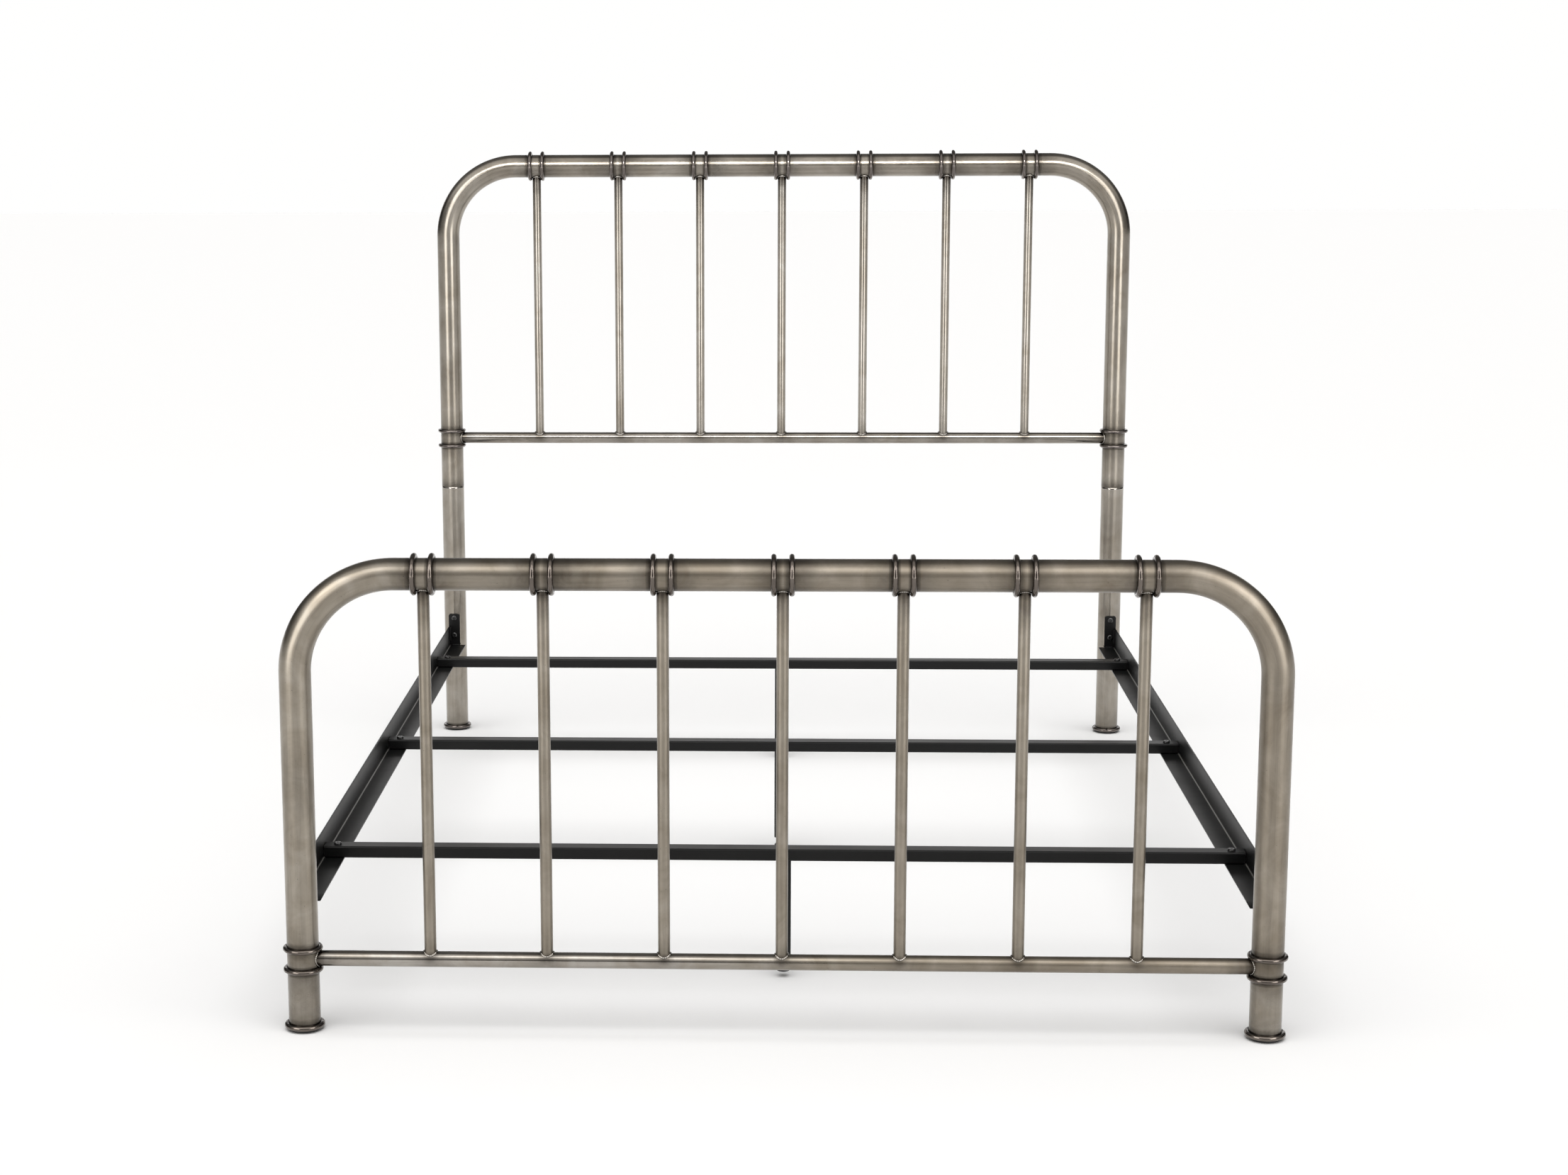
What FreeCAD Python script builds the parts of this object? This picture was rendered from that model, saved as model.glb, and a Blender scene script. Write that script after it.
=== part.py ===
import FreeCAD, Part
import math
import os

V = FreeCAD.Vector

# Queen bed frame. Millimetres, +Z up, floor at z = 0, footboard towards -Y.
# ---- overall layout ----
post_span = 1525.0          # post centre to post centre across the bed
bed_length = 2085.0         # headboard tube centre to footboard tube centre
post_x = post_span / 2.0
board_y = bed_length / 2.0

# ---- headboard and footboard tubing ----
tube_r = 25.4               # 2 inch main tube
tube_wall = 1.5
corner_r = 158.0            # centre-line radius of the two top bends
bar_r = 12.7                # 1 inch lower bar
bar_wall = 1.5
spindle_r = 9.6             # 3/4 inch spindles
spindle_wall = 1.2
spindle_count = 7
spindle_pitch = 186.0
head_top_z = 1312.5
head_bar_z = 691.0
foot_top_z = 740.0
foot_bar_z = 117.5

# ---- decorative wire rings ----
top_ring_centre_r = 28.9
top_ring_wire_r = 4.3
top_ring_gap = 28.0         # between the two rings of a pair
post_ring_centre_r = 27.9
post_ring_wire_r = 4.1
post_ring_gap = 34.2
foot_ring_centre_r = 28.1
foot_ring_wire_r = 4.3
foot_ring_z = 8.0

# ---- headboard leg joint and floor glides ----
leg_joint_z = 578.5
spigot_clearance = 0.3
spigot_length = 70.0
shoulder_height = 4.0
leg_screw_z = 614.0
glide_r = 24.6
glide_height = 3.6
glide_plug_length = 18.0

# ---- side rails ----
rail_outer_x = 775.0
rail_height = 48.0
rail_width = 38.0
rail_thick = 3.0
rail_base_z = 203.0         # underside of the rail
plate_width = 25.4
plate_thick = 3.0
plate_top_z = 279.5
plate_corner_r = 5.0
rail_bolt_z = (229.5, 270.0)
rail_bolt_r = 4.0
rail_bolt_head_r = 6.5
rail_bolt_head_h = 4.2
rail_bolt_length = 20.0
insert_r = 5.5
insert_length = 15.0

# ---- cross slats ----
slat_depth = 32.0
slat_height = 20.0
slat_wall = 1.5
slat_y = (775.0, 2.0, -761.0)
slat_names = ("head", "middle", "foot")
slat_bolt_x = 749.5
slat_bolt_r = 3.0
slat_bolt_head_r = 6.6
slat_bolt_head_h = 3.4
slat_nut_r = 5.7
slat_nut_h = 5.0

# ---- centre legs and levelling feet ----
leg_width = 25.0
leg_wall = 1.5
leg_end_z = 34.0            # lower end of the square leg tube
leg_x = (0.0, 0.0, 3.5)     # the foot leg stands a little off centre
foot_rise = 10.5             # levelling feet stand clear of the floor by this much
stem_r = 4.0
stem_bore_r = 4.08
stem_top_z = foot_rise + 78.0
ball_r = 4.6
ball_z = foot_rise + 6.6
neck_r = 3.2
pad_r = 12.0
pad_neck_top_z = foot_rise + 12.6
stem_hex_r = 6.4
stem_hex_z = (foot_rise + 13.6, foot_rise + 18.4)

flange_top_z = rail_base_z + rail_thick
plate_face = tube_r + plate_thick
rail_half_length = board_y - plate_face


def rod(radius, start, end):
    """Solid round bar between two points."""
    run = end.sub(start)
    return Part.makeCylinder(radius, run.Length, start, run)


def pipe(radius, wall, start, end):
    """Round tube between two points."""
    return rod(radius, start, end).cut(rod(radius - wall, start, end))


def box(low, high):
    """Box from its lowest corner to its highest corner."""
    size = high.sub(low)
    return Part.makeBox(size.x, size.y, size.z, low)


def edges_along(shape, direction, test):
    """Straight edges of a shape that run along a direction and pass a test."""
    found = []
    for edge in shape.Edges:
        if len(edge.Vertexes) != 2:
            continue
        run = edge.Vertexes[1].Point.sub(edge.Vertexes[0].Point)
        if run.Length > 0.01 and abs(abs(run.normalize().dot(direction)) - 1.0) < 1e-6:
            if test(edge.CenterOfMass):
                found.append(edge)
    return found


def rounded_box(low, high, direction, radius):
    """Box with its four edges along one direction rounded."""
    body = box(low, high)
    return body.makeFillet(radius, edges_along(body, direction, lambda p: True))


def hexagon(across, height, centre):
    """Upright hexagonal prism standing on a centre point."""
    corner = across / math.sqrt(3.0)
    points = []
    for i in range(7):
        turn = math.radians(60.0 * i)
        points.append(V(centre.x + corner * math.cos(turn), centre.y + corner * math.sin(turn), centre.z))
    return Part.Face(Part.makePolygon(points)).extrude(V(0, 0, height))


def arch_solid(radius, y, low_z, top_z):
    """Solid bent bar: up one post, across the top and down the other post."""
    side = post_x - corner_r
    spring = top_z - corner_r
    parts = [rod(radius, V(-side, y, top_z), V(side, y, top_z))]
    for sign in (-1, 1):
        parts.append(rod(radius, V(sign * post_x, y, low_z), V(sign * post_x, y, spring)))
        circle = Part.Wire(Part.makeCircle(radius, V(sign * post_x, y, spring), V(0, 0, 1)))
        bend = Part.Face(circle).revolve(V(sign * side, y, spring), V(0, -sign, 0), 90.0)
        parts.append(bend)
    return parts[0].fuse(parts[1:]).removeSplitter()


def arch_tube(y, low_z, top_z):
    """Hollow bent main tube of one board."""
    return arch_solid(tube_r, y, low_z, top_z).cut(arch_solid(tube_r - tube_wall, y, low_z, top_z))


def lower_bar(y, z):
    """Horizontal bar, coped to the two posts."""
    bar = pipe(bar_r, bar_wall, V(-post_x, y, z), V(post_x, y, z))
    for sign in (-1, 1):
        bar = bar.cut(rod(tube_r, V(sign * post_x, y, z - 60), V(sign * post_x, y, z + 60)))
    return bar


def spindle(x, y, bar_z, top_z):
    """Upright spindle, coped to the lower bar and to the top tube."""
    bar = pipe(spindle_r, spindle_wall, V(x, y, bar_z), V(x, y, top_z))
    bar = bar.cut(rod(bar_r, V(x - 40, y, bar_z), V(x + 40, y, bar_z)))
    return bar.cut(rod(tube_r, V(x - 40, y, top_z), V(x + 40, y, top_z)))


def spindle_positions():
    """Spindle centres across the bed, left to right."""
    middle = (spindle_count - 1) / 2.0
    return [(i - middle) * spindle_pitch for i in range(spindle_count)]


def wire_ring(centre, axis, centre_r, wire_r):
    """Wire ring seated around a main tube."""
    ring = Part.makeTorus(centre_r, wire_r, centre, axis)
    back = V(axis).multiply(20.0)
    return ring.cut(rod(tube_r, centre.sub(back), centre.add(back)))


def top_rings(y, top_z):
    """Pair of rings at every spindle along the top tube."""
    rings = []
    for x in spindle_positions():
        for side in (-1, 1):
            centre = V(x + side * top_ring_gap / 2.0, y, top_z)
            rings.append(wire_ring(centre, V(1, 0, 0), top_ring_centre_r, top_ring_wire_r))
    return Part.makeCompound(rings)


def post_rings(x, y, bar_z):
    """Pair of rings on a post, one above and one below the lower bar."""
    rings = []
    for side in (-1, 1):
        centre = V(x, y, bar_z + side * post_ring_gap / 2.0)
        rings.append(wire_ring(centre, V(0, 0, 1), post_ring_centre_r, post_ring_wire_r))
    return Part.makeCompound(rings)


def foot_ring(x, y):
    """Ring around the bottom of a post."""
    return wire_ring(V(x, y, foot_ring_z), V(0, 0, 1), foot_ring_centre_r, foot_ring_wire_r)


def glide(x, y):
    """Plastic floor glide with a hollow plug that fits inside the tube."""
    disc = Part.makeCylinder(glide_r, glide_height, V(x, y, 0))
    low = [e for e in disc.Edges if abs(e.CenterOfMass.z) < 0.01 and len(e.Vertexes) == 1]
    disc = disc.makeChamfer(1.0, low)
    plug = rod(tube_r - tube_wall, V(x, y, glide_height - 0.5), V(x, y, glide_plug_length))
    hollow = rod(tube_r - tube_wall - 3.0, V(x, y, glide_height), V(x, y, glide_plug_length + 1))
    return disc.fuse(plug.cut(hollow)).removeSplitter()


def bolt_hole(x, y, sign, z, radius):
    """Cutter for a rail bolt hole through the bed side of a post."""
    return rod(radius, V(x, y, z), V(x, y - sign * 40.0, z))


def headboard_leg(x):
    """Lower leg tube with a rounded shoulder and a reduced upper end."""
    inner = tube_r - tube_wall
    spigot = inner - spigot_clearance
    top = leg_joint_z + spigot_length
    land = tube_r - 1.0
    drop = leg_joint_z - shoulder_height
    round_r = (1.0 + shoulder_height ** 2) / 2.0
    turn = math.asin(shoulder_height / round_r) / 2.0
    start, end = V(tube_r, 0, drop), V(land, 0, leg_joint_z)
    mid = V(tube_r - round_r + round_r * math.cos(turn), 0, drop + round_r * math.sin(turn))
    outline = [
        Part.makeLine(V(inner, 0, glide_height), V(tube_r, 0, glide_height)),
        Part.makeLine(V(tube_r, 0, glide_height), start),
        Part.Arc(start, mid, end).toShape(),
        Part.makeLine(end, V(spigot, 0, leg_joint_z)),
        Part.makeLine(V(spigot, 0, leg_joint_z), V(spigot, 0, top)),
        Part.makeLine(V(spigot, 0, top), V(spigot - tube_wall, 0, top)),
        Part.makeLine(V(spigot - tube_wall, 0, top), V(spigot - tube_wall, 0, drop - 3.0)),
        Part.makeLine(V(spigot - tube_wall, 0, drop - 3.0), V(inner, 0, drop - 8.0)),
        Part.makeLine(V(inner, 0, drop - 8.0), V(inner, 0, glide_height)),
    ]
    leg = Part.Face(Part.Wire(outline)).revolve(V(0, 0, 0), V(0, 0, 1), 360.0)
    leg.translate(V(x, board_y, 0))
    for z in rail_bolt_z:
        leg = leg.cut(bolt_hole(x, board_y, 1, z, insert_r))
    return leg.cut(leg_screw_shank(x))


def leg_screw_shank(x):
    """Shank of the screw that locks a leg into the headboard tube."""
    return rod(slat_bolt_r, V(x, board_y + tube_r - 6.0, leg_screw_z), V(x, board_y + tube_r, leg_screw_z))


def leg_screw(x):
    """Pan-head screw at the back of a headboard post."""
    head = rod(5.5, V(x, board_y + tube_r - 1.0, leg_screw_z), V(x, board_y + tube_r + 3.0, leg_screw_z))
    outer = [e for e in head.Edges if abs(e.CenterOfMass.y - board_y - tube_r - 3.0) < 0.01]
    head = head.makeFillet(1.4, outer)
    head = head.cut(rod(tube_r, V(x, board_y, leg_screw_z - 20), V(x, board_y, leg_screw_z + 20)))
    return head.fuse(leg_screw_shank(x)).removeSplitter()


def headboard_arch():
    """Headboard main tube, ending at the leg joints."""
    arch = arch_tube(board_y, leg_joint_z, head_top_z)
    for sign in (-1, 1):
        arch = arch.cut(leg_screw_shank(sign * post_x))
    return arch


def footboard_arch():
    """Footboard main tube, running down to the floor glides."""
    arch = arch_tube(-board_y, glide_height, foot_top_z)
    for sign in (-1, 1):
        for z in rail_bolt_z:
            arch = arch.cut(bolt_hole(sign * post_x, -board_y, -1, z, insert_r))
    return arch


def side_rail(sign):
    """Steel angle rail: outer flange upright, lower flange towards the bed centre."""
    outer, inner = sign * rail_outer_x, sign * (rail_outer_x - rail_width)
    web = sign * (rail_outer_x - rail_thick)
    half = rail_half_length
    top = rail_base_z + rail_height
    upright = box(V(min(outer, web), -half, rail_base_z), V(max(outer, web), half, top))
    flat = box(V(min(outer, inner), -half, rail_base_z), V(max(outer, inner), half, flange_top_z))
    rail = upright.fuse(flat).removeSplitter()
    along = V(0, 1, 0)
    rail = rail.makeFillet(3.0, edges_along(rail, along, lambda p: abs(p.x - web) < 0.1 and p.z < top - 1))
    heel = edges_along(rail, along, lambda p: abs(p.x - outer) < 0.1 and abs(p.z - rail_base_z) < 0.1)
    rail = rail.makeFillet(5.0, heel)
    for y in slat_y:
        x = sign * slat_bolt_x
        rail = rail.cut(rod(slat_bolt_r, V(x, y, rail_base_z - 5), V(x, y, flange_top_z + 5)))
    return rail


def end_plate(x, sign):
    """Bolt plate at one rail end, saddled to the round post."""
    face, post = sign * rail_half_length, sign * board_y
    near, far = min(face, post - sign * 20.0), max(face, post - sign * 20.0)
    half = plate_width / 2.0
    plate = box(V(x - half, near, rail_base_z), V(x + half, far, plate_top_z))
    across = V(0, 1, 0)
    plate = plate.makeFillet(plate_corner_r, edges_along(plate, across, lambda p: p.z > plate_top_z - 1))
    plate = plate.cut(rod(tube_r, V(x, post, rail_base_z - 5), V(x, post, plate_top_z + 5)))
    for z in rail_bolt_z:
        plate = plate.cut(bolt_hole(x, post, sign, z, rail_bolt_r))
    return plate


def rail_bolt(x, sign, z):
    """Socket button-head bolt through an end plate into the post."""
    face = sign * rail_half_length
    inward, along = V(0, -sign, 0), V(0, sign, 0)
    start = V(x, face, z)
    shank = Part.makeCylinder(rail_bolt_r, rail_bolt_length, start, along)
    head = Part.makeCylinder(rail_bolt_head_r, rail_bolt_head_h, start, inward)
    far = [e for e in head.Edges if abs(e.CenterOfMass.y - face + sign * rail_bolt_head_h) < 0.01]
    head = head.makeFillet(2.6, far)
    socket = hexagon(5.0, 2.4, V(0, 0, 0))
    socket.rotate(V(0, 0, 0), V(1, 0, 0), 90.0 * sign)
    socket.translate(V(x, face - sign * (rail_bolt_head_h - 2.4), z))
    return head.cut(socket).fuse(shank).removeSplitter()


def post_insert(x, sign, z):
    """Threaded insert held in the post wall for one rail bolt."""
    post = sign * board_y
    along = V(0, sign, 0)
    start = V(x, post - sign * (tube_r + 1.0), z)
    body = Part.makeCylinder(insert_r, insert_length, start, along)
    body = body.common(Part.makeCylinder(tube_r, 40.0, V(x, post, z - 20.0)))
    collar = Part.makeCylinder(insert_r + 2.0, 3.0, V(x, post - sign * (tube_r - 5.0), z), along)
    body = body.fuse(collar).removeSplitter()
    return body.cut(Part.makeCylinder(rail_bolt_r, 60.0, start, along))


def cross_slat(y):
    """Rectangular tube slat lying on the two rail flanges."""
    reach = rail_outer_x - rail_thick - 1.0
    half = slat_depth / 2.0
    low, high = V(-reach, y - half, flange_top_z), V(reach, y + half, flange_top_z + slat_height)
    wall = V(0, slat_wall, slat_wall)
    outer = rounded_box(low, high, V(1, 0, 0), 3.0)
    inner = rounded_box(low.add(wall), high.sub(wall), V(1, 0, 0), 1.5)
    slat = outer.cut(inner)
    # the lower outer corners clear the inside bend of the rails
    for sign in (-1, 1):
        corner = rounded_box(V(-4.0, -half - 1, -4.0), V(4.0, half + 1, 4.0), V(0, 1, 0), 0.5)
        corner.translate(V(sign * (reach + 1.5), y, flange_top_z))
        slat = slat.cut(corner)
        x = sign * slat_bolt_x
        slat = slat.cut(rod(slat_bolt_r, V(x, y, flange_top_z - 5), V(x, y, flange_top_z + slat_height + 5)))
    return slat


def slat_bolt(x, y):
    """Pan-head bolt through slat end and rail flange."""
    top = flange_top_z + slat_height
    head = Part.makeCylinder(slat_bolt_head_r, slat_bolt_head_h, V(x, y, top))
    upper = [e for e in head.Edges if abs(e.CenterOfMass.z - top - slat_bolt_head_h) < 0.01]
    head = head.makeFillet(2.2, upper)
    head = head.cut(hexagon(4.0, 2.0, V(x, y, top + slat_bolt_head_h - 2.0)))
    shank = rod(slat_bolt_r, V(x, y, rail_base_z - slat_nut_h - 2.5), V(x, y, top))
    return head.fuse(shank).removeSplitter()


def slat_nut(x, y):
    """Hexagon nut under the rail flange."""
    nut = hexagon(slat_nut_r * math.sqrt(3.0), slat_nut_h, V(x, y, rail_base_z - slat_nut_h))
    return nut.cut(rod(slat_bolt_r, V(x, y, rail_base_z - 20), V(x, y, rail_base_z + 5)))


def at_slat_bolts(make):
    """One copy of a fastener at each end of every slat."""
    return Part.makeCompound([make(sign * slat_bolt_x, y) for y in slat_y for sign in (-1, 1)])


def at_rail_bolts(make):
    """One copy of a fastener at each rail bolt position."""
    copies = []
    for side in (-1, 1):
        for sign in (-1, 1):
            for z in rail_bolt_z:
                copies.append(make(side * post_x, sign, z))
    return Part.makeCompound(copies)


def center_leg(x, y):
    """Square tube leg, butted to the underside of a slat."""
    half, wall = leg_width / 2.0, leg_wall
    low, high = V(x - half, y - half, leg_end_z), V(x + half, y + half, flange_top_z)
    outer = rounded_box(low, high, V(0, 0, 1), 3.0)
    inner = rounded_box(low.add(V(wall, wall, 0)), high.sub(V(wall, wall, 0)), V(0, 0, 1), 1.5)
    return outer.cut(inner)


def leg_insert(x, y):
    """Threaded plug in the lower end of a centre leg."""
    half = leg_width / 2.0
    inside = half - leg_wall
    low, high = V(x - half, y - half, leg_end_z - 2.0), V(x + half, y + half, leg_end_z)
    lip = rounded_box(low, high, V(0, 0, 1), 3.0)
    low, high = V(x - inside, y - inside, leg_end_z - 0.5), V(x + inside, y + inside, leg_end_z + 16.0)
    plug = lip.fuse(rounded_box(low, high, V(0, 0, 1), 1.5))
    return plug.cut(rod(stem_bore_r, V(x, y, 0), V(x, y, 120.0))).removeSplitter()


def leg_stem(x, y):
    """Levelling screw: ball end, hexagon and upright stem."""
    ball = Part.makeSphere(ball_r, V(x, y, ball_z))
    neck = rod(neck_r, V(x, y, ball_z), V(x, y, stem_hex_z[0] + 1.0))
    nut = hexagon(stem_hex_r * math.sqrt(3.0), stem_hex_z[1] - stem_hex_z[0], V(x, y, stem_hex_z[0]))
    stem = rod(stem_r, V(x, y, stem_hex_z[0] + 1.0), V(x, y, stem_top_z))
    return ball.fuse([neck, nut, stem]).removeSplitter()


def leg_pad(x, y):
    """Round foot pad with a ball socket."""
    base = Part.makeCylinder(pad_r, 5.0, V(x, y, foot_rise))
    low = [e for e in base.Edges if abs(e.CenterOfMass.z - foot_rise) < 0.01 and len(e.Vertexes) == 1]
    base = base.makeFillet(2.4, low)
    hub_base = foot_rise + 5.0
    hub = Part.makeCone(pad_r - 1.0, 7.6, pad_neck_top_z - hub_base, V(x, y, hub_base))
    pad = base.fuse(hub).removeSplitter()
    pad = pad.cut(Part.makeSphere(ball_r + 0.05, V(x, y, ball_z)))
    return pad.cut(rod(neck_r + 0.3, V(x, y, ball_z), V(x, y, foot_rise + 30.0)))


def side_name(sign):
    return "left" if sign < 0 else "right"


def build_board(name, y, bar_z, top_z, nodes):
    """Bars, spindles and rings shared by both boards."""
    nodes[name + "_lower_bar"] = lower_bar(y, bar_z)
    for number, x in enumerate(spindle_positions(), 1):
        nodes["%s_spindle_%d" % (name, number)] = spindle(x, y, bar_z, top_z)
    nodes[name + "_top_rings"] = top_rings(y, top_z)
    for sign in (-1, 1):
        side = side_name(sign)
        nodes["%s_post_rings_%s" % (name, side)] = post_rings(sign * post_x, y, bar_z)
        nodes["%s_foot_ring_%s" % (name, side)] = foot_ring(sign * post_x, y)
        nodes["%s_glide_%s" % (name, side)] = glide(sign * post_x, y)


def build_all():
    """Every node of the bed frame by name."""
    nodes = {"headboard_arch_tube": headboard_arch(), "footboard_arch_tube": footboard_arch()}
    build_board("headboard", board_y, head_bar_z, head_top_z, nodes)
    build_board("footboard", -board_y, foot_bar_z, foot_top_z, nodes)
    nodes["headboard_leg_screws"] = Part.makeCompound([leg_screw(-post_x), leg_screw(post_x)])
    for sign in (-1, 1):
        side = side_name(sign)
        nodes["headboard_leg_" + side] = headboard_leg(sign * post_x)
        nodes["side_rail_" + side] = side_rail(sign)
        for end, name in ((1, "head"), (-1, "foot")):
            nodes["rail_plate_%s_%s" % (name, side)] = end_plate(sign * post_x, end)
    nodes["rail_bolts"] = at_rail_bolts(rail_bolt)
    nodes["post_inserts"] = at_rail_bolts(post_insert)
    nodes["slat_bolts"] = at_slat_bolts(slat_bolt)
    nodes["slat_nuts"] = at_slat_bolts(slat_nut)
    for name, x, y in zip(slat_names, leg_x, slat_y):
        nodes["cross_slat_" + name] = cross_slat(y)
        nodes["center_leg_" + name] = center_leg(x, y)
        nodes["leg_stem_" + name] = leg_stem(x, y)
        nodes["leg_pad_" + name] = leg_pad(x, y)
    nodes["leg_inserts"] = Part.makeCompound([leg_insert(x, y) for x, y in zip(leg_x, slat_y)])
    return nodes


os.makedirs("parts", exist_ok=True)
for node, shape in build_all().items():
    shape.exportStep("parts/" + node + ".step")
    print(node, len(shape.Solids), shape.isValid(), round(shape.Volume))
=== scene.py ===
import math
import random

import bpy
import numpy as np
from mathutils import Matrix, Vector, noise


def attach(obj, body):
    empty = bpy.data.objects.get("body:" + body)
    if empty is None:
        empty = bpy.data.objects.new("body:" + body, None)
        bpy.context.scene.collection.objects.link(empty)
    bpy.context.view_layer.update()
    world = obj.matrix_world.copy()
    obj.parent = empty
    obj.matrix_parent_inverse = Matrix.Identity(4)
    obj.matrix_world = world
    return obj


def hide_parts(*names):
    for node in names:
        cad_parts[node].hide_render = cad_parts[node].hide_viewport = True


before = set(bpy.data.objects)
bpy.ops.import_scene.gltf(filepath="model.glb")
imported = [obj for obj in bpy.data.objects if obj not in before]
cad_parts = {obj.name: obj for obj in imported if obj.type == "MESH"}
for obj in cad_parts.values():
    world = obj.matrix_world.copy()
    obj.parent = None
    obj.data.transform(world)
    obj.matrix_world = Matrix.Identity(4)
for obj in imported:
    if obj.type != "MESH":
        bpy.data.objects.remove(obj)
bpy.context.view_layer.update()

MM = 0.001
ROOT = "bed_frame"                       # the body that everything but the levelling feet rides on
SIDES = ((-1, "left"), (1, "right"))

# ---- the bed's layout, in millimetres ----
POST_X, BOARD_Y = 762.5, 1042.5
TUBE_R, BAR_R, SPINDLE_R = 25.4, 12.7, 9.6
CORNER_R = 158.0
SPINDLE_X = [(i - 3) * 186.0 for i in range(7)]
BOARDS = {"headboard": (BOARD_Y, 691.0, 1312.5), "footboard": (-BOARD_Y, 117.5, 740.0)}
TOP_RING_R, TOP_WIRE_R, TOP_GAP = 28.9, 4.3, 28.0
POST_RING_R, POST_WIRE_R, POST_GAP = 27.9, 4.1, 34.2
FOOT_RING_R, FOOT_WIRE_R, FOOT_RING_Z = 28.1, 4.3, 8.0
LEG_JOINT_Z = 578.5
GLIDE_TOP = 3.6
TUBE_WALL = 1.5
SHOULDER_R, SHOULDER_H = 8.5, 4.0        # rounding at the top of each headboard leg
BEAD_FOOT_R, BEAD_HEAD_R = 1.55, 1.5     # weld beads at the two ends of a spindle
RAIL_X, RAIL_Z, RAIL_H, RAIL_W, RAIL_T = 775.0, 203.0, 48.0, 38.0, 3.0
RAIL_END = BOARD_Y - TUBE_R - 3.0
CENTRE_FEET = {"head": (0.0, 775.0), "middle": (0.0, 2.0), "foot": (3.5, -761.0)}
FOOT_RISE = 10.5                         # the pads' height over the floor at rest

# ---- patina where a ring lies on a tube: how dark, and over how many millimetres ----
SEAM_DARK, SEAM_WIDTH, FOOT_SEAM_WIDTH = 1.3, 5.2, 6.0

# ---- polish, from 0, dull and brown, to 1, bright and smooth; a pair is the left and the right end; the footboard set darker than the headboard, and its change from end to end, are painted shade and light ----
TUBE_POLISH_AND_LIGHT = {"headboard": (0.66, 0.66), "footboard": (0.47, 0.31)}
TUBE_LOW_POLISH_AND_LIGHT = {"headboard": 0.66, "footboard": 0.60}
BAR_POLISH_AND_LIGHT = {"headboard": (0.90, 0.90), "footboard": (1.0, 0.28)}
SPINDLE_POLISH_AND_LIGHT = {"headboard": 0.84, "footboard": 0.38}
RING_POLISH_AND_LIGHT = {"headboard": 0.9, "footboard": 0.55}
# the leg's shoulder band is glossier and lighter; its lighter colour is a painted highlight
LEG_POLISH_AND_LIGHT, SHOULDER_GLOSS_AND_HIGHLIGHT, SHOULDER_GLOSS_AND_HIGHLIGHT_H = 0.72, 1.0, 5.0
TUBE_FADE_X, BAR_FADE_X, FADE_SPAN = -350.0, 0.0, 600.0     # middle and length of the change


# =====================================================================
# meshes
# =====================================================================
def new_object(name, verts, faces, layers, uvs):
    """Smooth mesh object from vertices in millimetres, with point values and one UV map."""
    mesh = bpy.data.meshes.new(name)
    mesh.from_pydata([(x * MM, y * MM, z * MM) for x, y, z in verts], [], faces)
    for key, values in layers.items():
        layer = mesh.attributes.new(key, "FLOAT", "POINT")
        layer.data.foreach_set("value", np.asarray(values, np.float32))
    layer = mesh.uv_layers.new(name="UVMap")
    layer.data.foreach_set("uv", np.asarray(uvs, np.float32).reshape(-1))
    mesh.polygons.foreach_set("use_smooth", [True] * len(mesh.polygons))
    mesh.update()
    obj = bpy.data.objects.new(name, mesh)
    bpy.context.scene.collection.objects.link(obj)
    return obj


def value_at(value, *place):
    """A plain number, or what a function gives at a place."""
    return value(*place) if callable(value) else value


class Builder:
    """Collects several swept shapes into one mesh."""

    def __init__(self):
        self.verts, self.faces, self.uvs, self.grime, self.tone = [], [], [], [], []

    def sweep(self, rows, radius, segs, grime, closed=False, caps=(False, False), tone=0.5, seed=0.0):
        """Tube through rows of (centre, normal, binormal, distance along).

        radius is a number or a function of distance and angle; grime and tone are numbers or
        functions of point, distance and angle.
        """
        base = len(self.verts)
        for i, (c, n, b, s) in enumerate(rows):
            for j in range(segs):
                a = 2 * math.pi * j / segs
                r = value_at(radius, s, a)
                p = c + n * (r * math.cos(a)) + b * (r * math.sin(a))
                self.verts.append(tuple(p))
                self.grime.append(value_at(grime, p, s, a))
                self.tone.append(value_at(tone, p, s, a))
        count = len(rows)
        spans = count if closed else count - 1
        around = 2 * math.pi * value_at(radius, rows[0][3], 0.0) * MM
        total = rows[-1][3] + (rows[1][3] - rows[0][3] if closed else 0.0)
        for i in range(spans):
            k = (i + 1) % count
            s0, s1 = rows[i][3] * MM + seed, (rows[k][3] if k else total) * MM + seed
            for j in range(segs):
                m = (j + 1) % segs
                here, there = base + i * segs, base + k * segs
                self.faces.append((here + j, here + m, there + m, there + j))
                a0, a1 = around * j / segs + seed, around * (j + 1) / segs + seed
                self.uvs += [(s0, a0), (s0, a1), (s1, a1), (s1, a0)]
        for flag, i in ((caps[0], 0), (caps[1], count - 1)):
            if flag:
                ring = [base + i * segs + j for j in range(segs)]
                if i == 0:
                    ring.reverse()
                self.faces.append(tuple(ring))
                self.uvs += [(rows[i][3] * MM + seed, seed)] * segs

    def finish(self, name, material, replaces=(), body=ROOT):
        """Makes the mesh object; it rides on a body and may stand for a CAD node."""
        obj = new_object(name, self.verts, self.faces, {"grime": self.grime, "tone": self.tone}, self.uvs)
        obj.data.materials.append(material)
        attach(obj, body)
        if replaces:
            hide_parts(*replaces)


def straight_rows(start, end, count, stops=()):
    """Rows of a straight tube; stops are extra distances along it."""
    start, end = Vector(start), Vector(end)
    run = end - start
    length = run.length
    t = run.normalized()
    side = Vector((0, 1, 0)) if abs(t.y) < 0.9 else Vector((1, 0, 0))
    n = t.cross(side).normalized()
    b = t.cross(n)
    marks = {round(length * i / (count - 1), 3) for i in range(count)}
    marks |= {round(s, 3) for s in stops if 0 <= s <= length}
    return [(start + t * s, n, b, s) for s in sorted(marks)]


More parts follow.
